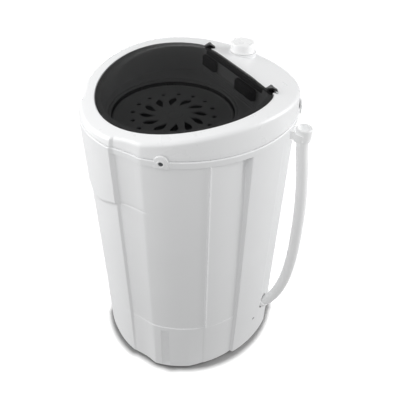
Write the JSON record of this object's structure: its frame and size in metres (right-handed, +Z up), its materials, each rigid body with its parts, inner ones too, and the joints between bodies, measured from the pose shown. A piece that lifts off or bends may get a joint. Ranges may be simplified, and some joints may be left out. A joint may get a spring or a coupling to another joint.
{
  "type": "top load washing machine",
  "caption": "Compact top-load washer and spin dryer with a smoked hinged lid, petal-slotted press plate, timer knob, drum on a sprung drive, lid brake and side drain hose.",
  "frame": {"origin": "on the floor under the middle of the cabinet, at the bottom of the feet", "axes": "+Z up; the front of the cabinet faces -Y; the drain hose is on the +X side"},
  "size_m": [0.3685, 0.376, 0.5854],
  "materials": {
    "cabinet_plastic": "satin white polypropylene",
    "cover_plastic": "smooth white",
    "tub_plastic": "satin white",
    "plate_plastic": "satin white",
    "smoked_plastic": "smoked, see-through",
    "knob_plastic": "smooth white",
    "hose_plastic": "satin white",
    "clip_plastic": "satin white",
    "black_plastic": "matte",
    "black_rubber": "matte",
    "stainless_steel": "brushed",
    "zinc_steel": "zinc plated",
    "capacitor_can": "satin",
    "painted_steel": "satin dark grey",
    "bronze": "sintered"
  },
  "bodies": {
    "cabinet": {"body_shell": "cabinet_plastic", "top_cover": "cover_plastic", "cover_screw_1": "zinc_steel", "cover_screw_2": "zinc_steel", "cover_screw_3": "zinc_steel", "cover_screw_4": "zinc_steel", "splash_ring": "tub_plastic", "hinge_pin_left": "zinc_steel", "hinge_pin_right": "zinc_steel", "tub": "tub_plastic", "base_plate": "black_plastic", "side_screw_1": "zinc_steel", "side_screw_2": "zinc_steel", "side_screw_3": "zinc_steel", "foot_front_left": "black_rubber", "foot_front_right": "black_rubber", "foot_rear_left": "black_rubber", "foot_rear_right": "black_rubber", "lid_switch": "black_plastic", "brake_actuator": "black_plastic", "timer_body": "black_plastic", "brake_cable": "black_plastic", "power_harness": "black_plastic", "capacitor": "capacitor_can", "cord_gland": "black_rubber", "hose_grommet": "black_rubber", "drain_hose": "hose_plastic", "inner_drain_hose": "black_rubber", "hose_end_cup": "hose_plastic", "hose_clip": "clip_plastic", "bellows_seal": "black_rubber", "suspension_spring_1": "zinc_steel", "suspension_spring_2": "zinc_steel", "suspension_spring_3": "zinc_steel"},
    "drive_unit": {"motor_lower_bell": "painted_steel", "motor_upper_bell": "painted_steel", "stator": "zinc_steel", "motor_bracket": "painted_steel", "shaft_bush": "bronze", "bearing_sleeve": "painted_steel", "brake_post": "zinc_steel", "brake_spring": "zinc_steel"},
    "spinner": {"drum": "stainless_steel", "drive_shaft": "stainless_steel", "drum_nut": "stainless_steel", "brake_drum": "painted_steel", "rotor": "zinc_steel"},
    "plate": {"press_plate": "plate_plastic"},
    "brake_arm": {"brake_lever": "zinc_steel", "brake_pad": "black_rubber"},
    "lid": {"lid": "smoked_plastic"},
    "knob": {"timer_knob": "knob_plastic", "timer_shaft": "zinc_steel"}
  },
  "joints": [
    {"name": "lid_hinge", "type": "hinge", "parent": "cabinet", "child": "lid", "pos_m": [0, 0.0965, 0.57165], "axis": [-1, 0, 0], "range_deg": [0, 100]},
    {"name": "knob_turn", "type": "hinge", "parent": "cabinet", "child": "knob", "pos_m": [-0.058, 0.142, 0.5684], "axis": [0, 0, -1], "range_deg": [0, 300]},
    {"name": "suspension_bounce", "type": "slide", "parent": "cabinet", "child": "drive_unit", "axis": [0, 0, 1], "range_m": [-0.003, 0.003], "stiffness_N_per_m": 7000, "springref_m": 0.0085, "deforming": ["suspension_spring_1", "suspension_spring_2", "suspension_spring_3", "bellows_seal"]},
    {"name": "drum_spin", "type": "hinge", "parent": "drive_unit", "child": "spinner", "pos_m": [0, -0.033, 0.238], "axis": [0, 0, 1], "continuous": true},
    {"name": "plate_slide", "type": "slide", "parent": "spinner", "child": "plate", "axis": [0, 0, 1], "range_m": [-0.235, 0]},
    {"name": "brake_swing", "type": "hinge", "parent": "drive_unit", "child": "brake_arm", "pos_m": [0.067, -0.078, 0.183], "axis": [0, 0, 1], "range_deg": [0, 3]}
  ],
  "couplings": [
    {"joint": "brake_swing", "follows": "lid_hinge", "ratio": 0.03}
  ]
}
